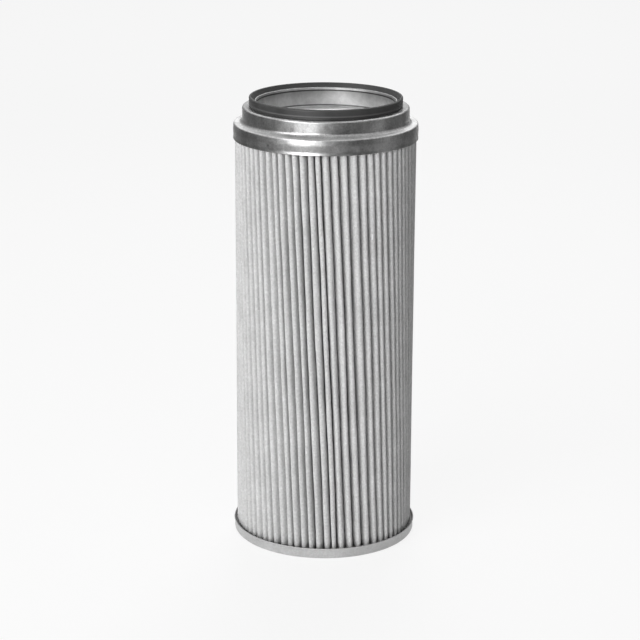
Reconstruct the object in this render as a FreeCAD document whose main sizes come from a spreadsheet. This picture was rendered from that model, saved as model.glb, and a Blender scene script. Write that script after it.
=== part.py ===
import FreeCAD, Part
import math
import os
import Sketcher

# Pleated filter element for a hydraulic return line, in millimetres.
# It stands on its bottom cap with the axis along +Z, and the origin is the centre of the underside.
# A folded sheet of filter paper stands round a perforated core tube. Its two ends are set in adhesive
# inside pressed steel end caps. The top cap carries a neck collar with a rubber seal round it.

SIZES = [
    ("sheet_gauge", 0.6, "steel sheet of both end caps"),
    ("joint_clearance", 0.05, "radial play between parts that are pushed together"),
    ("band_play", 0.1, "radial room between the folds and the top cap's band"),
    ("base_play", 0.55, "radial room between the folds and the bottom cap's wall"),
    ("base_wall_height", 5.6, "bottom cap, floor to rim"),
    ("base_rim_flare", 0.5, "how far the bottom cap's rim is opened outwards"),
    ("base_rim_flare_height", 1.3, "height over which the bottom cap's rim opens"),
    ("base_bend_radius", 1.2, "bend between the bottom cap's floor and wall"),
    ("drain_radius", 10.25, "hole in the middle of the bottom cap"),
    ("flange_height", 217.0, "top face of the top cap's flange, above the floor"),
    ("band_depth", 8.0, "top cap's band, from the flange's face down to its free edge"),
    ("band_bend_radius", 1.0, "bend between the band and the flange"),
    ("shelf_width", 4.6, "flange, from the band's outer face in to the step's wall"),
    ("step_rise", 8.0, "shoulder of the step above the flange"),
    ("step_root_radius", 3.0, "hollow bend where the step rises from the flange"),
    ("step_bend_radius", 1.3, "bend between the step's wall and its shoulder"),
    ("shoulder_width", 3.3, "shoulder of the step that shows outside the seal"),
    ("neck_bore_radius", 34.8, "inside of the neck collar's wall"),
    ("collar_gauge", 0.7, "steel sheet of the neck collar"),
    ("lip_rise", 2.8, "top edge of the collar above the step's shoulder"),
    ("lip_reveal", 1.2, "top edge of the collar above the seal's inner edge"),
    ("ledge_depth", 7.0, "upper face of the collar's ledge, below the step's shoulder"),
    ("outlet_radius", 25.7, "bore of the turned-down spout in the middle of the ledge"),
    ("outlet_length", 6.0, "spout, from the ledge's upper face down"),
    ("seal_width", 3.1, "rubber seal, from its bore to its outer face"),
    ("seal_rise", 5.0, "crest of the seal above the step's shoulder"),
    ("seal_edge_radius", 1.0, "rounding between the seal's outer face and its crest"),
    ("core_clearance", 0.1, "play between the spout and the core tube"),
    ("core_gauge", 0.8, "wall of the core tube"),
    ("core_slot_width", 7.0, "punched slots of the core tube, across"),
    ("core_slot_length", 28.0, "punched slots of the core tube, along the axis"),
    ("core_slot_pitch", 44.0, "height from one slot to the next in a column"),
    ("core_end_margin", 14.0, "plain stretch at each end of the core tube"),
    ("core_columns", 3, "columns of slots in each of the two staggered sets"),
    ("pleat_clearance", 0.2, "play between the core tube and the inner folds"),
    ("pleat_count", 70, "folds round the element"),
    ("pleat_lean", 9.4, "sideways run of a fold from its lower to its upper end"),
    ("paper_gauge", 0.55, "folded filter sheet"),
    ("outer_fold_radius", 1.4, "outside of an outer fold"),
    ("inner_fold_radius", 0.3, "hollow side of an inner fold"),
    ("base_bed_depth", 3.8, "adhesive on the bottom cap's floor"),
    ("top_bed_depth", 4.9, "adhesive under the top cap's flange"),
]


class Size:
    """A length and the sheet formula that gives it."""

    def __init__(self, value, formula):
        self.value = value
        self.formula = formula

    def __add__(self, other):
        return Size(self.value + other.value, f"{self.formula} + {other.formula}")

    def __sub__(self, other):
        return Size(self.value - other.value, f"{self.formula} - ({other.formula})")

    def times(self, number):
        return Size(self.value * number, f"({self.formula}) * {number}")


ZERO = Size(0.0, "0")
CROWN_FLAT_COUNT = 3
FLAT_BEND_SHARE = round(2 - math.sqrt(2), 6)

# Directions along an outline, as (radius, height)
UP = (0, 1)
OUTWARDS = (1, 0)
INWARDS = (-1, 0)

doc = FreeCAD.newDocument("filter_element")
sheet = doc.addObject("Spreadsheet::Sheet", "Sizes")
size = {}
for row, (alias, value, meaning) in enumerate(SIZES, start=1):
    sheet.set(f"A{row}", meaning)
    sheet.set(f"B{row}", str(value))
    sheet.setAlias(f"B{row}", alias)
    size[alias] = Size(float(value), f"Sizes.{alias}")
doc.recompute()

# Heights that several parts share
base_floor = size["sheet_gauge"]
base_bed_top = base_floor + size["base_bed_depth"]
flange_top = size["flange_height"]
flange_underside = flange_top - size["sheet_gauge"]
top_bed_underside = flange_underside - size["top_bed_depth"]
shoulder_top = flange_top + size["step_rise"]
shoulder_underside = shoulder_top - size["sheet_gauge"]
ledge_top = shoulder_top - size["ledge_depth"]
ledge_underside = ledge_top - size["collar_gauge"]
lip_top = shoulder_top + size["lip_rise"]

# Radii that several parts share, from the neck outwards
neck_outside = size["neck_bore_radius"] + size["collar_gauge"]
neck_hole = neck_outside + size["joint_clearance"]
seal_outside = neck_hole + size["seal_width"]
step_outside = seal_outside + size["shoulder_width"]
step_inside = step_outside - size["sheet_gauge"]
band_outside = step_outside + size["shelf_width"]
band_inside = band_outside - size["sheet_gauge"]
pleat_outside = band_inside - size["band_play"]
base_wall_inside = pleat_outside + size["base_play"]
base_wall_outside = base_wall_inside + size["sheet_gauge"]

# Radii that several parts share, from the outlet outwards
spout_outside = size["outlet_radius"] + size["collar_gauge"]
core_inside = spout_outside + size["core_clearance"]
core_outside = core_inside + size["core_gauge"]
pleat_bore = core_outside + size["pleat_clearance"]


def origin_plane(body, role):
    return next(item for item in body.Origin.OriginFeatures if item.Role == role)


def new_body(label):
    body = doc.addObject("PartDesign::Body", label)
    body.Label = label
    return body


def outline_sketch(body, name, points):
    """A closed outline of (radius, height) points on the XZ plane, each one tied to the sheet."""
    sketch = body.newObject("Sketcher::SketchObject", name)
    sketch.AttachmentSupport = [(origin_plane(body, "XZ_Plane"), "")]
    sketch.MapMode = "FlatFace"
    corners = [FreeCAD.Vector(radius.value, height.value, 0) for radius, height in points]
    for start, end in zip(corners, corners[1:] + corners[:1]):
        sketch.addGeometry(Part.LineSegment(start, end), False)
    for index, (radius, height) in enumerate(points):
        before = (index - 1) % len(points)
        sketch.addConstraint(Sketcher.Constraint("Coincident", before, 2, index, 1))
        across = sketch.addConstraint(Sketcher.Constraint("DistanceX", -1, 1, index, 1, radius.value))
        sketch.setExpression(f"Constraints[{across}]", radius.formula)
        if height.value:
            up = sketch.addConstraint(Sketcher.Constraint("DistanceY", -1, 1, index, 1, height.value))
            sketch.setExpression(f"Constraints[{up}]", height.formula)
        else:
            sketch.addConstraint(Sketcher.Constraint("PointOnObject", index, 1, -1))
    return sketch


def turn(body, name, points):
    """Turns an outline about the element's axis."""
    sketch = outline_sketch(body, name + "Outline", points)
    turned = body.newObject("PartDesign::Revolution", name)
    turned.Profile = sketch
    turned.ReferenceAxis = (sketch, ["V_Axis"])
    turned.Angle = 360
    doc.recompute()
    return turned


def bend(corner, rounding, came, goes):
    """The one flat that touches a round bend half way: came and goes are the directions of its sides."""
    cut = rounding.times(FLAT_BEND_SHARE)
    return [
        (corner[0] - cut.times(came[0]), corner[1] - cut.times(came[1])),
        (corner[0] + cut.times(goes[0]), corner[1] + cut.times(goes[1])),
    ]


def make_bottom_end_cap():
    """Pressed pan with a flared rim and the drain hole in its floor."""
    body = new_body("bottom_end_cap")
    rim_top = size["base_wall_height"]
    rim_start = rim_top - size["base_rim_flare_height"]
    turn(body, "Pan", [
        (size["drain_radius"], ZERO),
        *bend((base_wall_outside, ZERO), size["base_bend_radius"], OUTWARDS, UP),
        (base_wall_outside, rim_start),
        (base_wall_outside + size["base_rim_flare"], rim_top),
        (base_wall_inside + size["base_rim_flare"], rim_top),
        (base_wall_inside, rim_start),
        (base_wall_inside, base_floor),
        (size["drain_radius"], base_floor),
    ])
    return body


def make_top_end_cap():
    """Pressed cover: band, flange, raised step and the shoulder that the seal stands on."""
    body = new_body("top_end_cap")
    band_edge = flange_top - size["band_depth"]
    turn(body, "Cover", [
        (band_outside, band_edge),
        *bend((band_outside, flange_top), size["band_bend_radius"], UP, INWARDS),
        *bend((step_outside, flange_top), size["step_root_radius"], INWARDS, UP),
        *bend((step_outside, shoulder_top), size["step_bend_radius"], UP, INWARDS),
        (neck_hole, shoulder_top),
        (neck_hole, shoulder_underside),
        (step_inside, shoulder_underside),
        (step_inside, flange_underside),
        (band_inside, flange_underside),
        (band_inside, band_edge),
    ])
    return body


def make_neck_collar():
    """Drawn cup: a wall up to its lip, a ledge and a turned-down spout in the middle of it."""
    body = new_body("neck_collar")
    spout_end = ledge_top - size["outlet_length"]
    turn(body, "Cup", [
        (size["outlet_radius"], spout_end),
        (size["outlet_radius"], ledge_top),
        (size["neck_bore_radius"], ledge_top),
        (size["neck_bore_radius"], lip_top),
        (neck_outside, lip_top),
        (neck_outside, ledge_underside),
        (spout_outside, ledge_underside),
        (spout_outside, spout_end),
    ])
    return body


def make_neck_seal():
    """Rubber ring round the neck, whose top slopes down inwards to just below the collar's lip."""
    body = new_body("neck_seal")
    crest = shoulder_top + size["seal_rise"]
    turn(body, "Ring", [
        (neck_hole, shoulder_top),
        (seal_outside, shoulder_top),
        *bend((seal_outside, crest), size["seal_edge_radius"], UP, INWARDS),
        (neck_hole, lip_top - size["lip_reveal"]),
    ])
    return body


def make_adhesive_bed(label, points):
    """Cured adhesive that holds the ends of the folds, the core tube and a cap together."""
    body = new_body(label)
    turn(body, "Bed", points)
    return body


def slot_sketch(body, name, first, rows, angle):
    """A column of upright slots, one above another, on a plane through the axis at the given angle."""
    sketch = body.newObject("Sketcher::SketchObject", name)
    sketch.AttachmentSupport = [(origin_plane(body, "XZ_Plane"), "")]
    sketch.MapMode = "FlatFace"
    turned = FreeCAD.Rotation(FreeCAD.Vector(0, 1, 0), angle)
    sketch.AttachmentOffset = FreeCAD.Placement(FreeCAD.Vector(), turned)
    half_width = size["core_slot_width"].times(0.5)
    for row in range(rows):
        low = first + size["core_slot_pitch"].times(row)
        high = low + size["core_slot_length"]
        corners = [(-1, low), (1, low), (1, high), (-1, high)]
        points = [FreeCAD.Vector(side * half_width.value, level.value, 0) for side, level in corners]
        edge = 4 * row
        for number, (side, level) in enumerate(corners):
            sketch.addGeometry(Part.LineSegment(points[number], points[(number + 1) % 4]), False)
        for number, (side, level) in enumerate(corners):
            before = edge + (number - 1) % 4
            sketch.addConstraint(Sketcher.Constraint("Coincident", before, 2, edge + number, 1))
            up = sketch.addConstraint(Sketcher.Constraint("DistanceY", -1, 1, edge + number, 1, level.value))
            sketch.setExpression(f"Constraints[{up}]", level.formula)
            across = sketch.addConstraint(
                Sketcher.Constraint("DistanceX", -1, 1, edge + number, 1, side * half_width.value)
            )
            sketch.setExpression(f"Constraints[{across}]", half_width.times(side).formula)
    return sketch


def make_core_tube():
    """Support tube from floor to ledge, with staggered columns of punched slots."""
    body = new_body("core_tube")
    tube = turn(body, "Tube", [
        (core_inside, base_floor),
        (core_outside, base_floor),
        (core_outside, ledge_underside),
        (core_inside, ledge_underside),
    ])
    columns = int(size["core_columns"].value)
    pitch = size["core_slot_pitch"]
    lowest = base_floor + size["core_end_margin"]
    highest = ledge_underside - size["core_end_margin"] - size["core_slot_length"]
    for name, first, angle in (("Even", lowest, 0.0), ("Odd", lowest + pitch.times(0.5), 180.0 / columns)):
        rows = 1 + int((highest.value - first.value) // pitch.value)
        sketch = slot_sketch(body, name + "Column", first, rows, angle)
        pocket = body.newObject("PartDesign::Pocket", name + "Slots")
        pocket.Profile = sketch
        pocket.Type = "ThroughAll"
        doc.recompute()
        if pocket.Shape.Volume > tube.Shape.Volume - 1:
            pocket.Reversed = True
            doc.recompute()
        ring = body.newObject("PartDesign::PolarPattern", name + "Ring")
        ring.Originals = [pocket]
        ring.Axis = (sketch, ["V_Axis"])
        ring.Angle = 360
        ring.Occurrences = columns
        body.Tip = ring
        doc.recompute()
        tube = ring
    return body


def fold_line(depth, lean, height):
    """Corners of one closed line round all the folds, depth inside the sheet's outer face.

    A fold's crown is a few flats and its root is one. Each corner is run sideways by lean, square to
    its radius, so that the folds cross the element's height at a slant.
    """
    count = int(size["pleat_count"].value)
    half_pitch = math.pi / count
    crown = size["outer_fold_radius"].value
    root = size["inner_fold_radius"].value
    crown_x = math.sqrt(pleat_outside.value ** 2 - lean ** 2) - crown
    root_distance = pleat_bore.value + size["paper_gauge"].value + root
    root_x = root_distance * math.cos(half_pitch)
    root_y = root_distance * math.sin(half_pitch)
    span = math.hypot(root_x - crown_x, root_y)
    heading = math.atan2(root_y, root_x - crown_x)
    square_to_flank = heading + math.asin((crown + root) / span) - math.pi / 2
    corners = []
    for step in range(CROWN_FLAT_COUNT + 1):
        angle = square_to_flank * (2 * step / CROWN_FLAT_COUNT - 1)
        corners.append((
            crown_x + (crown - depth) * math.cos(angle),
            (crown - depth) * math.sin(angle),
        ))
    landing_x = root_x - (root + depth) * math.cos(square_to_flank)
    landing_y = root_y - (root + depth) * math.sin(square_to_flank)
    corners.append((landing_x, landing_y))
    swing = 2 * half_pitch
    corners.append((
        landing_x * math.cos(swing) + landing_y * math.sin(swing),
        landing_x * math.sin(swing) - landing_y * math.cos(swing),
    ))
    line = []
    for number in range(count):
        for x, y in corners:
            radius = math.hypot(x, y)
            angle = math.atan2(y, x) + number * swing + math.atan2(lean, radius)
            reach = math.hypot(radius, lean)
            line.append(FreeCAD.Vector(reach * math.cos(angle), reach * math.sin(angle), height))
    return line


def flat_face(*corners):
    return Part.Face(Part.makePolygon([*corners, corners[0]]))


def make_pleated_media():
    """Filter sheet folded into a star and closed to a ring, each fold leaning a little sideways."""
    low = base_bed_top.value
    high = top_bed_underside.value
    lean = size["pleat_lean"].value / 2
    faces = []
    loops = {}
    for side, depth in (("outer", 0.0), ("inner", size["paper_gauge"].value)):
        foot = fold_line(depth, lean, low)
        head = fold_line(depth, -lean, high)
        loops[side] = (foot, head)
        for here in range(len(foot)):
            there = (here + 1) % len(foot)
            panel = [foot[here], foot[there], head[there], head[here]]
            if side == "inner":
                panel.reverse()
            faces.append(flat_face(panel[0], panel[1], panel[2]))
            faces.append(flat_face(panel[0], panel[2], panel[3]))
    for end in (0, 1):
        rims = [Part.makePolygon([*loops[side][end], loops[side][end][0]]) for side in ("outer", "inner")]
        faces.append(Part.Face(rims))
    solid = Part.makeSolid(Part.makeShell(faces))
    solid.fix(1e-6, 1e-6, 1e-6)
    media = doc.addObject("Part::Feature", "pleated_media")
    media.Label = "pleated_media"
    media.Shape = solid
    return media


def check_and_export(parts):
    doc.recompute()
    for item in doc.Objects:
        if "Invalid" in item.State or "Error" in item.State:
            raise RuntimeError(f"{item.Label} failed: {item.State}")
    os.makedirs("parts", exist_ok=True)
    for part in parts:
        shape = part.Shape
        if shape.isNull() or not shape.isValid() or len(shape.Solids) != 1:
            raise RuntimeError(f"{part.Label} is not one valid solid")
    for part in parts:
        part.Shape.exportStep(f"parts/{part.Label}.step")
        print(f"{part.Label}: {part.Shape.Volume:.1f} mm3, {len(part.Shape.Faces)} faces")


check_and_export([
    make_bottom_end_cap(),
    make_adhesive_bed("bottom_adhesive", [
        (core_outside, base_floor),
        (base_wall_inside, base_floor),
        (base_wall_inside, base_bed_top),
        (core_outside, base_bed_top),
    ]),
    make_core_tube(),
    make_pleated_media(),
    make_adhesive_bed("top_adhesive", [
        (core_outside, top_bed_underside),
        (band_inside, top_bed_underside),
        (band_inside, flange_underside),
        (core_outside, flange_underside),
    ]),
    make_top_end_cap(),
    make_neck_collar(),
    make_neck_seal(),
])
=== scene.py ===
import math
import random

import bmesh
import bpy
from mathutils import Matrix, Vector, noise


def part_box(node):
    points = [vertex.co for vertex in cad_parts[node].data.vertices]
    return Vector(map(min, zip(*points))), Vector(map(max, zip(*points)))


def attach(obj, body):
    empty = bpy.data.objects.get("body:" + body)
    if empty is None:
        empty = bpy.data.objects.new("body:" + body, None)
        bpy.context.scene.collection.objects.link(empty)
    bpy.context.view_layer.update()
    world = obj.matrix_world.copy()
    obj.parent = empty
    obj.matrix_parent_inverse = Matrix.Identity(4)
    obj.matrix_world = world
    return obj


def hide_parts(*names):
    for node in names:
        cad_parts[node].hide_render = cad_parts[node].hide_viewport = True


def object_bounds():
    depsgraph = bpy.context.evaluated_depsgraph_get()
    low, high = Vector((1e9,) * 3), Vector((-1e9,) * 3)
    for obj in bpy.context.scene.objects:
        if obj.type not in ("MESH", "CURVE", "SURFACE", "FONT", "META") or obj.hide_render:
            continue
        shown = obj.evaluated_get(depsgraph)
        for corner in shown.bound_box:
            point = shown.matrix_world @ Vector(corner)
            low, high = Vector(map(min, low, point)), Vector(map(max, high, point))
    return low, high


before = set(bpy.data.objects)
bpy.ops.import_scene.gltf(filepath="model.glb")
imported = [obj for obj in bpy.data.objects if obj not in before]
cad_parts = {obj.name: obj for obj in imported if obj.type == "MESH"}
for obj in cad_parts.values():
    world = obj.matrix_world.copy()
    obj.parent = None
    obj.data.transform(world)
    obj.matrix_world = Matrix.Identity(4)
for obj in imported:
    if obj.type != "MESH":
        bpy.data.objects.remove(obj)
cad_low, cad_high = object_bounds()

MM = 0.001
ORIGIN = (0.0, 0.0, 0.0)
UPWARDS = (0.0, 0.0, 1.0)

# Sheet metal
GAUGE = 0.6 * MM
COLLAR_GAUGE = 0.7 * MM
EDGE_ROUNDING = 0.2 * MM
DENT_WIDTH = 20.0 * MM
LATHE_STEPS = 216
BEND_STEPS = 6
MERGING_DISTANCE = 1e-7

# Caps, neck and seal
BAND_DEPTH = 8.0 * MM
STEP_INSET = 4.6 * MM
NECK_HOLE_RADIUS = 35.55 * MM
SPOUT_RADIUS = 25.7 * MM
SPOUT_LENGTH = 6.0 * MM
SEAL_FOOT_HEIGHT = 1.1 * MM
DRAIN_RADIUS = 10.25 * MM

# Folds of the filter paper
FOLD_COUNT = 70
FOLD_SEED = 7
FOLD_LEAN = 9.4 * MM
FOLD_LEVELS = 46
CROWN_STEPS = 3
PAPER_GAUGE = 0.55 * MM
VALLEY_RADIUS = 27.5 * MM + PAPER_GAUGE
ROOT_ROUNDING = 0.3 * MM
WAIST_DEPTH = 4.2 * MM
WAIST_HALF_GAP = 0.2 * MM
NARROWEST_GAP = 0.8 * MM

# How much the folds differ from one another
WIDTH_SPREAD = 0.17
REACH_SPREAD = 0.08 * MM
SMALLEST_CROWN = 1.1 * MM
LARGEST_CROWN = 1.32 * MM
LONG_SWAY = 0.6 * MM
SHORT_SWAY = 0.22 * MM
DEEPEST_SINK = 0.16 * MM

# Studio
AMBIENT_LIGHT = 0.1
SEEN_WHITE = 0.82
FLOOR_GLOW = 0.85
FLOOR_REACH = 40.0
FLAG_RADIUS = 0.5
FLAG_STEPS = 12

# Most of a noise's values lie between these two
NOISE_LOW = 0.3
NOISE_HIGH = 0.7


def top_of(node):
    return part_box(node)[1].z


def foot_of(node):
    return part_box(node)[0].z


def radius_of(node):
    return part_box(node)[1].x


def patchy(place):
    """Smooth noise between nought and one."""
    return 0.5 + 0.5 * noise.noise(place)


def new_object(name, shape, finish):
    """Turns a finished bmesh into an object of the scene."""
    mesh = bpy.data.meshes.new(name)
    shape.to_mesh(mesh)
    shape.free()
    mesh.materials.append(finish)
    made = bpy.data.objects.new(name, mesh)
    bpy.context.scene.collection.objects.link(made)
    return made


# Shader nodes

def grey(level):
    return (level, level, level, 1.0)


def new_node(tree, kind, levels):
    """A node with some of its inputs set by name."""
    node = tree.nodes.new(kind)
    for name, level in levels.items():
        node.inputs[name].default_value = level
    return node


def worked_out(tree, operation, *terms):
    """The result of a math node whose terms are sockets or numbers."""
    node = tree.nodes.new("ShaderNodeMath")
    node.operation = operation
    for number, term in enumerate(terms):
        if isinstance(term, bpy.types.NodeSocket):
            tree.links.new(term, node.inputs[number])
        else:
            node.inputs[number].default_value = term
    return node.outputs["Value"]


def blended(tree, share, first, second):
    """The first shader where the share is nought and the second where it is one."""
    mix = tree.nodes.new("ShaderNodeMixShader")
    tree.links.new(share, mix.inputs["Fac"])
    tree.links.new(first, mix.inputs[1])
    tree.links.new(second, mix.inputs[2])
    return mix.outputs["Shader"]


def seen_directly(tree):
    """One for rays from the lens, off metal or through glass, and nought for light on the object."""
    path = tree.nodes.new("ShaderNodeLightPath")
    either = path.outputs["Is Camera Ray"]
    for kind in ("Is Glossy Ray", "Is Transmission Ray"):
        either = worked_out(tree, "MAXIMUM", either, path.outputs[kind])
    return either


# Camera and lighting

def make_camera():
    """The photograph's view: a metre in front, almost twice the element's height up, looking down."""
    distance = 1.0270
    height = 0.4207
    aside = -0.0025
    tilt = 0.2911
    roll = 0.0044
    data = bpy.data.cameras.new("camera")
    data.lens = 117.0
    data.sensor_width = 36.0
    data.clip_start = 0.05
    data.clip_end = 60.0
    camera = bpy.data.objects.new("camera", data)
    camera.location = (aside, -distance, height)
    camera.rotation_euler = (math.pi / 2 - tilt, 0.0, 0.0)
    camera.rotation_euler.rotate_axis("Z", roll)
    bpy.context.scene.collection.objects.link(camera)
    bpy.context.scene.camera = camera


def make_lamp(name, place, target, width, height, watts, spread=math.pi):
    """A rectangular softbox that the lens doesn't see."""
    data = bpy.data.lights.new(name, "AREA")
    data.shape = "RECTANGLE"
    data.size = width
    data.size_y = height
    data.energy = watts
    data.spread = spread
    lamp = bpy.data.objects.new(name, data)
    lamp.location = place
    lamp.rotation_euler = (Vector(target) - lamp.location).to_track_quat("-Z", "Y").to_euler()
    lamp.visible_camera = False
    bpy.context.scene.collection.objects.link(lamp)


def make_lights():
    middle = (0.0, 0.0, 0.5 * cad_high.z)
    behind = (0.0, 1.5, 0.0)
    make_lamp("side_softbox", (-0.95, -0.8, 0.85), middle, width=0.7, height=0.7, watts=1.1, spread=1.3)
    make_lamp("front_softbox", (-0.5, -1.02, 0.33), middle, width=0.7, height=0.42, watts=2.25, spread=1.6)
    make_lamp("right_fill", (0.45, -1.1, 0.85), middle, width=0.5, height=0.5, watts=0.16, spread=1.3)
    make_lamp("back_fill", (0.1, 1.1, 1.5), middle, width=0.7, height=0.5, watts=1.6, spread=1.3)
    make_lamp("backdrop_light", (0.0, 1.6, 1.6), behind, width=2.2, height=1.8, watts=16.0)


def make_world():
    """Dim light on the object, and near white for what the lens and the metal see."""
    world = bpy.data.worlds.new("studio")
    world.use_nodes = True
    tree = world.node_tree
    tree.nodes.clear()
    ambient, white = (
        new_node(tree, "ShaderNodeBackground", {"Color": grey(1.0), "Strength": strength})
        for strength in (AMBIENT_LIGHT, SEEN_WHITE)
    )
    mixed = blended(
        tree, seen_directly(tree), ambient.outputs["Background"], white.outputs["Background"],
    )
    tree.links.new(mixed, tree.nodes.new("ShaderNodeOutputWorld").inputs["Surface"])
    bpy.context.scene.world = world
    bpy.context.scene.view_settings.view_transform = "Standard"


def make_flag(name, finish, first, last, height):
    """A curved card beside the element, between two bearings in degrees, that only reflections show."""
    shape = bmesh.new()
    foot = shape.verts.new((FLAG_RADIUS, 0.0, 0.0))
    head = shape.verts.new((FLAG_RADIUS, 0.0, height))
    edge = shape.edges.new((foot, head))
    bmesh.ops.rotate(
        shape, verts=[foot, head], cent=ORIGIN,
        matrix=Matrix.Rotation(math.radians(first), 3, "Z"),
    )
    bmesh.ops.spin(
        shape, geom=[foot, head, edge], cent=ORIGIN, axis=UPWARDS,
        angle=math.radians(last - first), steps=FLAG_STEPS,
    )
    card = new_object(name, shape, finish)
    card.visible_camera = False
    card.visible_diffuse = False
    card.visible_transmission = False
    card.visible_shadow = False


def make_flags():
    """Dark, grey and pale cards that give the metal its tones."""
    dark = flag_cloth("flag_cloth", 0.22)
    make_flag("left_flag", flag_cloth("grey_flag_cloth", 0.32), first=128.0, last=216.0, height=0.38)
    make_flag("low_front_flag", dark, first=216.0, last=268.0, height=0.18)
    make_flag("near_right_flag", dark, first=-92.0, last=-20.0, height=0.42)
    make_flag("far_right_flag", dark, first=-12.0, last=52.0, height=0.38)
    make_flag("back_flag", flag_cloth("pale_flag_cloth", 0.75), first=52.0, last=128.0, height=0.4)


def make_floor(finish):
    shape = bmesh.new()
    bmesh.ops.create_grid(shape, x_segments=8, y_segments=8, size=FLOOR_REACH)
    floor = new_object("studio_floor", shape, finish)


# Finishes

class Finish:
    """A grey node material with one Principled shader and short calls for what feeds it."""

    def __init__(self, name, level, roughness, metallic=0.0, specular=0.5):
        self.material = bpy.data.materials.new(name)
        self.material.use_nodes = True
        self.tree = self.material.node_tree
        self.shader = self.tree.nodes["Principled BSDF"]
        self.shader.inputs["Base Color"].default_value = grey(level)
        self.shader.inputs["Roughness"].default_value = roughness
        self.shader.inputs["Metallic"].default_value = metallic
        self.shader.inputs["Specular IOR Level"].default_value = specular
        self.place = self.tree.nodes.new("ShaderNodeTexCoord").outputs["Object"]

    def stretched(self, scale):
        """Object coordinates with each axis scaled by its own factor."""
        mapping = new_node(self.tree, "ShaderNodeMapping", {"Scale": scale})
        self.tree.links.new(self.place, mapping.inputs["Vector"])
        return mapping.outputs["Vector"]

    def noise(self, scale, detail=3.0, rough=0.55, warp=0.0, place=None):
        texture = new_node(self.tree, "ShaderNodeTexNoise", {
            "Scale": scale,
            "Detail": detail,
            "Roughness": rough,
            "Distortion": warp,
        })
        self.tree.links.new(place or self.place, texture.inputs["Vector"])
        return texture.outputs["Fac"]

    def spread(self, source, low, high, to_low, to_high):
        """A source's range from low to high, mapped to another range and held within it."""
        mapped = new_node(self.tree, "ShaderNodeMapRange", {
            "From Min": low,
            "From Max": high,
            "To Min": to_low,
            "To Max": to_high,
        })
        self.tree.links.new(source, mapped.inputs["Value"])
        return mapped.outputs["Result"]

    def graded(self, source, to_low, to_high):
        """A noise's usual range, mapped to another range."""
        return self.spread(source, NOISE_LOW, NOISE_HIGH, to_low, to_high)

    def joined(self, operation, source, *others):
        """Two or more sources joined one after the other by the same operation."""
        for other in others:
            source = worked_out(self.tree, operation, source, other)
        return source

    def away_from(self, height):
        """How far a point lies above or below a height."""
        parts = self.tree.nodes.new("ShaderNodeSeparateXYZ")
        self.tree.links.new(self.place, parts.inputs["Vector"])
        gap = worked_out(self.tree, "SUBTRACT", parts.outputs["Z"], height)
        return worked_out(self.tree, "ABSOLUTE", gap)

    def greys(self, source, stops):
        """A source turned into greys by stops of (position, level)."""
        ramp = self.tree.nodes.new("ShaderNodeValToRGB")
        points = ramp.color_ramp.elements
        while len(points) < len(stops):
            points.new(0.5)
        for point, (position, level) in zip(points, stops):
            point.position = position
            point.color = grey(level)
        self.tree.links.new(source, ramp.inputs["Fac"])
        return ramp.outputs["Color"]

    def feed(self, socket, source):
        self.tree.links.new(source, self.shader.inputs[socket])

    def bumps(self, source, height, strength):
        bump = new_node(self.tree, "ShaderNodeBump", {"Strength": strength, "Distance": height})
        self.tree.links.new(source, bump.inputs["Height"])
        self.feed("Normal", bump.outputs["Normal"])


def tinplate():
    """Bright tinned sheet: cloudy, grainy, streaked where the press drew it, rougher on its flange and
    painted lighter there as a sheen.
    """
    finish = Finish("tinplate", 0.55, 0.3, metallic=1.0)
    clouds = finish.noise(110.0, detail=7.0, rough=0.68)
    rubbed = finish.noise(170.0, detail=5.0, rough=0.65, place=finish.stretched((1.0, 1.0, 0.45)))
    grain = finish.noise(1100.0, rough=0.65)
    flange = foot_of("top_end_cap") + BAND_DEPTH
    # A band at the flange's height: rougher, and with a painted sheen, since its base colour is lighter
    # there.
    flange_roughness_and_sheen = finish.spread(finish.away_from(flange), 0.12 * MM, 0.4 * MM, 1.0, 0.0)
    mottle = finish.joined(
        "ADD",
        finish.graded(clouds, 0.0, 0.35),
        finish.graded(rubbed, 0.0, 0.4),
        finish.graded(grain, 0.0, 0.45),
        finish.spread(flange_roughness_and_sheen, 0.0, 1.0, 0.0, 0.35),
    )
    finish.feed("Base Color", finish.greys(mottle, [(0.2, 0.24), (0.6, 0.38), (0.9, 0.5), (1.0, 0.56)]))
    smudges = finish.noise(140.0, detail=4.0)
    pitting = finish.noise(600.0, rough=0.6)
    finish.feed("Roughness", finish.joined(
        "ADD",
        finish.graded(smudges, 0.0, 0.08),
        finish.graded(pitting, 0.25, 0.34),
        finish.spread(flange_roughness_and_sheen, 0.0, 1.0, 0.0, 0.3),
    ))
    dents = finish.noise(70.0, detail=2.0, rough=0.5)
    spangle = finish.noise(420.0, detail=2.0, rough=0.5)
    uneven = finish.joined("ADD", dents, finish.spread(spangle, 0.0, 1.0, 0.0, 0.12))
    finish.bumps(uneven, 0.2 * MM, 1.0)
    return finish.material


def dull_tinplate():
    """The collar's sheet: the same tin, dull and stained, with painted shade near its lip, so it is
    brighter deeper in the neck.
    """
    finish = Finish("dull_tinplate", 0.5, 0.5, metallic=0.85)
    stains = finish.noise(110.0, detail=6.0, rough=0.7, warp=0.5)
    lip = top_of("neck_collar")
    ledge = foot_of("neck_collar") + SPOUT_LENGTH
    layers = [
        finish.graded(stains, 0.42, 0.66),
        # Painted shade: the base colour darkens towards the lip.
        finish.spread(finish.away_from(lip), 1.0 * MM, 5.5 * MM, 0.66, 1.15),
    ]
    # Painted shade in thin dark lines: on the spout's edge, in the ledge's corner and under the lip
    for shaded_crease, left in ((ledge - 0.5 * MM, 0.45), (ledge + 0.75 * MM, 0.2), (lip - 1.4 * MM, 0.2)):
        layers.append(finish.spread(finish.away_from(shaded_crease), 0.25 * MM, 0.5 * MM, left, 1.0))
    finish.feed("Base Color", finish.joined("MULTIPLY", *layers))
    finish.feed("Roughness", finish.graded(stains, 0.55, 0.42))
    finish.bumps(finish.noise(500.0, detail=4.0, rough=0.6), 0.06 * MM, 0.6)
    return finish.material


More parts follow.
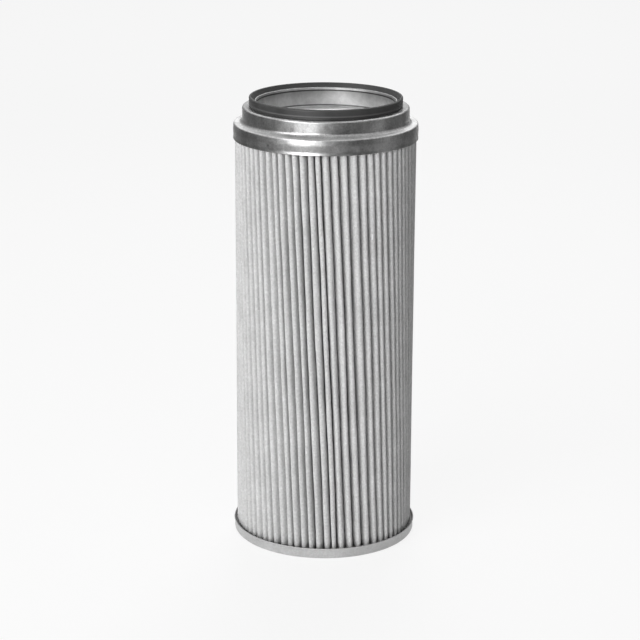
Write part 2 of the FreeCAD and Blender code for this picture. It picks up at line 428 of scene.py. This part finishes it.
def plain_steel():
    """Dull grey sheet of the bottom cap."""
    finish = Finish("plain_steel", 0.5, 0.5, metallic=0.5)
    clouds = finish.noise(45.0, detail=4.0)
    grain = finish.noise(900.0, detail=4.0, rough=0.65)
    tone = finish.joined("ADD", finish.graded(clouds, 0.0, 0.5), finish.graded(grain, 0.0, 0.5))
    finish.feed("Base Color", finish.greys(tone, [(0.2, 0.43), (0.8, 0.56)]))
    finish.feed("Roughness", finish.graded(finish.noise(160.0), 0.4, 0.52))
    finish.bumps(grain, 0.12 * MM, 0.6)
    return finish.material


def filter_paper():
    """Resin-treated filter paper: pale, matt, with a felted surface and stray pale fibres."""
    finish = Finish("filter_paper", 0.78, 0.88, specular=0.2)
    felt = finish.noise(800.0, detail=4.0, rough=0.65)
    blotches = finish.noise(60.0, detail=4.0, rough=0.5)
    specks = finish.noise(460.0, detail=1.0, rough=0.5)
    strands = finish.noise(260.0, detail=1.0, rough=0.5, place=finish.stretched((4.0, 4.0, 0.7)))
    fibres = finish.joined(
        "MAXIMUM",
        finish.spread(specks, 0.795, 0.81, 0.0, 1.0),
        finish.spread(strands, 0.785, 0.8, 0.0, 0.8),
    )
    tone = finish.joined("ADD", finish.graded(felt, 0.0, 0.7), finish.graded(blotches, 0.0, 0.3), fibres)
    finish.feed("Base Color", finish.greys(tone, [(0.1, 0.5), (0.55, 0.61), (0.9, 0.71), (1.0, 0.78)]))
    finish.bumps(felt, 0.3 * MM, 0.8)
    return finish.material


def seal_rubber():
    """Black rubber, faintly clouded, with a painted highlight where its side starts above the foot."""
    finish = Finish("seal_rubber", 0.045, 0.48, specular=0.45)
    bloom = finish.noise(90.0, detail=4.0, rough=0.6)
    edge = foot_of("neck_seal") + SEAL_FOOT_HEIGHT + 0.35 * MM
    # Painted highlight: the base colour is lighter along the side's lower edge.
    painted_highlight = finish.spread(finish.away_from(edge), 0.15 * MM, 0.6 * MM, 0.05, 0.0)
    finish.feed("Base Color", finish.joined("ADD", finish.spread(bloom, 0.3, 0.75, 0.034, 0.055), painted_highlight))
    finish.feed("Roughness", finish.graded(bloom, 0.42, 0.58))
    finish.bumps(finish.noise(1500.0, detail=2.0), 0.03 * MM, 0.4)
    return finish.material


def cured_adhesive():
    """Dark resin with slow swirls."""
    finish = Finish("cured_adhesive", 0.16, 0.35)
    swirl = finish.noise(80.0, rough=0.5, warp=1.0)
    finish.feed("Base Color", finish.greys(swirl, [(0.3, 0.12), (0.7, 0.2)]))
    finish.bumps(swirl, 0.3 * MM, 0.5)
    return finish.material


def core_steel():
    """Rolled steel with streaks along the tube."""
    finish = Finish("core_steel", 0.5, 0.4, metallic=1.0)
    rolled = finish.noise(140.0, detail=4.0, rough=0.6, place=finish.stretched((1.0, 1.0, 0.15)))
    finish.feed("Base Color", finish.greys(rolled, [(0.3, 0.38), (0.7, 0.52)]))
    finish.feed("Roughness", finish.graded(rolled, 0.32, 0.48))
    return finish.material


def floor_paper():
    """Pale floor that the lens and the metal see as nearly white, with the shadow still on it."""
    finish = Finish("floor_paper", 0.9, 0.9, specular=0.1)
    finish.feed("Base Color", finish.greys(finish.noise(2.0, detail=2.0), [(0.3, 0.89), (0.7, 0.91)]))
    glow = finish.tree.nodes.new("ShaderNodeEmission").outputs["Emission"]
    share = worked_out(finish.tree, "MULTIPLY", seen_directly(finish.tree), FLOOR_GLOW)
    mixed = blended(finish.tree, share, finish.shader.outputs["BSDF"], glow)
    finish.tree.links.new(mixed, finish.tree.nodes["Material Output"].inputs["Surface"])
    return finish.material


def flag_cloth(name, level):
    finish = Finish(name, level, 0.9, specular=0.1)
    finish.feed("Base Color", finish.graded(finish.noise(30.0), 0.9 * level, 1.1 * level))
    return finish.material


# Turned and pressed pieces

def rounded_section(corners):
    """A closed (radius, height) outline from corners of (radius, height, rounding)."""
    outline = []
    for number, (radius, height, rounding) in enumerate(corners):
        here = Vector((radius, height))
        back = Vector(corners[number - 1][:2]) - here
        ahead = Vector(corners[(number + 1) % len(corners)][:2]) - here
        half_turn = back.angle(ahead) / 2
        back.normalize()
        ahead.normalize()
        centre = here + (back + ahead).normalized() * (rounding / math.sin(half_turn))
        reach = rounding / math.tan(half_turn)
        start = here + back * reach - centre
        end = here + ahead * reach - centre
        turn = start.angle_signed(end)
        for step in range(BEND_STEPS + 1):
            offset = start.copy()
            offset.rotate(Matrix.Rotation(-turn * step / BEND_STEPS, 2))
            outline.append(centre + offset)
    return outline


def turned(outline, unevenness):
    """Spins an outline about the axis and draws it in a little, here more and there less."""
    shape = bmesh.new()
    points = [shape.verts.new((radius, 0.0, height)) for radius, height in outline]
    for number, point in enumerate(points):
        shape.edges.new((points[number - 1], point))
    bmesh.ops.spin(
        shape, geom=shape.verts[:] + shape.edges[:], cent=ORIGIN, axis=UPWARDS,
        angle=math.tau, steps=LATHE_STEPS, use_merge=True,
    )
    bmesh.ops.remove_doubles(shape, verts=shape.verts, dist=MERGING_DISTANCE)
    bmesh.ops.recalc_face_normals(shape, faces=shape.faces)
    for point in shape.verts:
        inwards = -Vector((point.co.x, point.co.y, 0.0)).normalized()
        point.co += inwards * unevenness * patchy(point.co / DENT_WIDTH)
    return shape


def new_piece(name, shape, finish, node):
    """Turns a finished bmesh into the smooth piece that stands for a CAD node."""
    for face in shape.faces:
        face.smooth = True
    piece = new_object(name, shape, finish)
    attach(piece, "root")
    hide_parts(node)
    return piece


def new_turned_piece(name, corners, unevenness, finish, node):
    """A piece turned from the corners of its section, with its flats shaded flat."""
    piece = new_piece(name, turned(rounded_section(corners), unevenness), finish, node)
    weighted = piece.modifiers.new("weighted_normals", "WEIGHTED_NORMAL")
    weighted.weight = 100
    weighted.keep_sharp = True


def make_top_end_cap(finish):
    band_radius = radius_of("top_end_cap")
    band_edge = foot_of("top_end_cap")
    shoulder = top_of("top_end_cap")
    flange = band_edge + BAND_DEPTH
    hollow_radius = band_radius - 0.18 * MM
    swell_radius = band_radius - 0.02 * MM
    flange_radius = band_radius - 0.25 * MM
    step_radius = band_radius - STEP_INSET
    corners = [
        (band_radius, band_edge, EDGE_ROUNDING),
        (hollow_radius, band_edge + 1.5 * MM, 6.0 * MM),
        (swell_radius, band_edge + 4.8 * MM, 12.0 * MM),
        (flange_radius, flange, 0.9 * MM),
        (step_radius, flange, 2.2 * MM),
        (step_radius, shoulder, 1.0 * MM),
        (NECK_HOLE_RADIUS, shoulder, EDGE_ROUNDING),
        (NECK_HOLE_RADIUS, shoulder - GAUGE, EDGE_ROUNDING),
        (step_radius - GAUGE, shoulder - GAUGE, 0.5 * MM),
        (step_radius - GAUGE, flange - GAUGE, 2.8 * MM),
        (flange_radius - GAUGE, flange - GAUGE, 0.3 * MM),
        (flange_radius - GAUGE, band_edge, EDGE_ROUNDING),
    ]
    new_turned_piece("pressed_top_cap", corners, 0.06 * MM, finish, "top_end_cap")


def make_neck_collar(finish):
    lip = top_of("neck_collar")
    spout_end = foot_of("neck_collar")
    ledge = spout_end + SPOUT_LENGTH
    flare_start = lip - 1.2 * MM
    wall_outside = radius_of("neck_collar")
    wall_inside = wall_outside - COLLAR_GAUGE
    lip_radius = wall_outside + 0.35 * MM
    corners = [
        (SPOUT_RADIUS, spout_end, EDGE_ROUNDING),
        (SPOUT_RADIUS, ledge, 1.0 * MM),
        (wall_inside, ledge, 1.0 * MM),
        (wall_inside, flare_start, 0.3 * MM),
        (lip_radius - COLLAR_GAUGE, lip, 0.3 * MM),
        (lip_radius, lip, 0.3 * MM),
        (wall_outside, flare_start, 0.3 * MM),
        (wall_outside, ledge - COLLAR_GAUGE, 0.6 * MM),
        (SPOUT_RADIUS + COLLAR_GAUGE, ledge - COLLAR_GAUGE, 0.3 * MM),
        (SPOUT_RADIUS + COLLAR_GAUGE, spout_end, EDGE_ROUNDING),
    ]
    new_turned_piece("drawn_neck_collar", corners, 0.05 * MM, finish, "neck_collar")


def make_neck_seal(finish):
    shoulder = foot_of("neck_seal")
    crest = top_of("neck_seal")
    outside = radius_of("neck_seal")
    foot_radius = outside - 0.5 * MM
    hollow_radius = outside - 0.22 * MM
    slope_radius = outside - 1.2 * MM
    overhang = shoulder + SEAL_FOOT_HEIGHT
    slope_end = crest - 3.4 * MM
    corners = [
        (NECK_HOLE_RADIUS, shoulder, 0.15 * MM),
        (foot_radius, shoulder, 0.15 * MM),
        (foot_radius, overhang, 0.2 * MM),
        (outside, overhang, 0.1 * MM),
        (hollow_radius, overhang + 0.55 * MM, 0.4 * MM),
        (outside, crest, 0.9 * MM),
        (slope_radius, crest, 0.5 * MM),
        (NECK_HOLE_RADIUS, slope_end, 0.3 * MM),
    ]
    new_turned_piece("moulded_neck_seal", corners, 0.04 * MM, finish, "neck_seal")


def make_bottom_end_cap(finish):
    rim = top_of("bottom_end_cap")
    rim_radius = radius_of("bottom_end_cap")
    rim_start = rim - 1.3 * MM
    wall = rim_radius - 0.5 * MM
    corners = [
        (DRAIN_RADIUS, 0.0, EDGE_ROUNDING),
        (wall, 0.0, 1.2 * MM),
        (wall, rim_start, 0.5 * MM),
        (rim_radius, rim, 0.3 * MM),
        (rim_radius - GAUGE, rim, 0.3 * MM),
        (wall - GAUGE, rim_start, 0.5 * MM),
        (wall - GAUGE, GAUGE, 0.4 * MM),
        (DRAIN_RADIUS, GAUGE, EDGE_ROUNDING),
    ]
    new_turned_piece("pressed_bottom_cap", corners, 0.03 * MM, finish, "bottom_end_cap")


# Folded sheet

def heading(angle):
    return Vector((math.cos(angle), math.sin(angle)))


def facing(centre, goal, rounding):
    """Angle at which a flank faces that leaves a rounding at its centre and passes the goal."""
    between = goal - centre
    return math.atan2(between.y, between.x) - math.acos(rounding / between.length)


def half_fold(width, reach, crown):
    """Half of a fold's outer face, from its crown to the valley, as (radius, angle) points."""
    middle = heading(width / 2)
    aside = Vector((middle.y, -middle.x))
    crown_centre = Vector((reach - crown, 0.0))
    waist = (reach - WAIST_DEPTH) * middle + WAIST_HALF_GAP * aside
    root_centre = (VALLEY_RADIUS + ROOT_ROUNDING) * middle
    outer_flank = facing(crown_centre, waist, crown)
    inner_flank = facing(waist, root_centre, ROOT_ROUNDING)
    points = [
        crown_centre + crown * heading(outer_flank * step / CROWN_STEPS)
        for step in range(CROWN_STEPS + 1)
    ]
    points.append(waist)
    points.append(root_centre - ROOT_ROUNDING * heading(inner_flank))
    half = [(point.length, math.atan2(point.y, point.x)) for point in points]
    half.append((VALLEY_RADIUS, width / 2))
    return half


def fold_cells(chance):
    """Start angle and width of each fold: crowded here and loose there, as gathered by hand."""
    strays = [max(-1.6, min(2.2, chance.gauss(0.0, 1.0))) for _ in range(FOLD_COUNT)]
    widths = [1.0 + WIDTH_SPREAD * stray for stray in strays]
    share = math.tau / sum(widths)
    start = 0.0
    cells = []
    for width in widths:
        cells.append((start, width * share))
        start += width * share
    return cells


def reach_at_the_ends():
    """How far out a crown lies before its lean takes its ends out to the full radius."""
    return math.sqrt(radius_of("pleated_media") ** 2 - (FOLD_LEAN / 2) ** 2)


def fold_line():
    """The sheet's outer face seen from above, as (radius, angle) points all the way round."""
    chance = random.Random(FOLD_SEED)
    ends_reach = reach_at_the_ends()
    line = []
    for start, width in fold_cells(chance):
        centre = start + width / 2
        reach = ends_reach - abs(chance.gauss(0.0, REACH_SPREAD))
        crown = min(chance.uniform(SMALLEST_CROWN, LARGEST_CROWN), (width * reach - NARROWEST_GAP) / 2)
        half = half_fold(width, reach, crown)
        line += [(radius, centre - angle) for radius, angle in reversed(half[1:-1])]
        line += [(radius, centre + angle) for radius, angle in half]
    return line


def raised_wall(line, foot, head):
    """An upright wall over a closed line of (radius, angle) points, raised level by level."""
    shape = bmesh.new()
    ring = [
        shape.verts.new((radius * math.cos(angle), radius * math.sin(angle), foot))
        for radius, angle in line
    ]
    rising = [shape.edges.new((ring[number - 1], point)) for number, point in enumerate(ring)]
    for _ in range(FOLD_LEVELS):
        made = bmesh.ops.extrude_edge_only(shape, edges=rising)["geom"]
        raised = {item for item in made if isinstance(item, bmesh.types.BMVert)}
        rising = [
            item for item in made
            if isinstance(item, bmesh.types.BMEdge) and raised.issuperset(item.verts)
        ]
        bmesh.ops.translate(shape, verts=list(raised), vec=(0.0, 0.0, (head - foot) / FOLD_LEVELS))
    bmesh.ops.recalc_face_normals(shape, faces=shape.faces)
    return shape


def lean_and_sway(shape, foot, head, full_radius):
    """Leans the folds sideways along the element's round, and lets them sway and sink a little."""
    ends_reach = reach_at_the_ends()
    for point in shape.verts:
        radius = math.hypot(point.co.x, point.co.y)
        angle = math.atan2(point.co.y, point.co.x)
        rise = (point.co.z - foot) / (head - foot)
        free = math.sin(math.pi * rise)
        outwards = max(0.0, min(1.0, (radius - VALLEY_RADIUS) / (full_radius - VALLEY_RADIUS)))
        around = Vector((math.cos(angle), math.sin(angle), 0.0))
        sway = LONG_SWAY * free * noise.noise(9.0 * around + Vector((0.0, 2.7, 2.5 * rise)))
        sway += SHORT_SWAY * noise.noise(34.0 * around + Vector((9.1, 0.0, 16.0 * rise)))
        side = FOLD_LEAN * (0.5 - rise) + sway * outwards
        sink = DEEPEST_SINK * free * patchy(20.0 * around + Vector((5.3, 0.0, 5.0 * rise)))
        bow = (full_radius - ends_reach) * (1.0 - (2.0 * rise - 1.0) ** 2)
        radius += (bow - sink) * outwards
        reach = math.hypot(radius, side)
        angle += math.atan2(side, radius)
        point.co.x = reach * math.cos(angle)
        point.co.y = reach * math.sin(angle)


def make_pleated_media(finish):
    low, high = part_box("pleated_media")
    shape = raised_wall(fold_line(), low.z, high.z)
    lean_and_sway(shape, low.z, high.z, high.x)
    piece = new_piece("folded_filter_sheet", shape, finish, "pleated_media")
    sheet = piece.modifiers.new("paper_gauge", "SOLIDIFY")
    sheet.thickness = PAPER_GAUGE
    sheet.offset = -1.0
    sheet.use_rim = True


def finish_cad_node(node, finish):
    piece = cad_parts[node]
    piece.data.materials.clear()
    piece.data.materials.append(finish)


make_camera()
make_lights()
make_world()
make_flags()
glue = cured_adhesive()
make_top_end_cap(tinplate())
make_neck_collar(dull_tinplate())
make_neck_seal(seal_rubber())
make_bottom_end_cap(plain_steel())
make_pleated_media(filter_paper())
finish_cad_node("core_tube", core_steel())
finish_cad_node("top_adhesive", glue)
finish_cad_node("bottom_adhesive", glue)
make_floor(floor_paper())
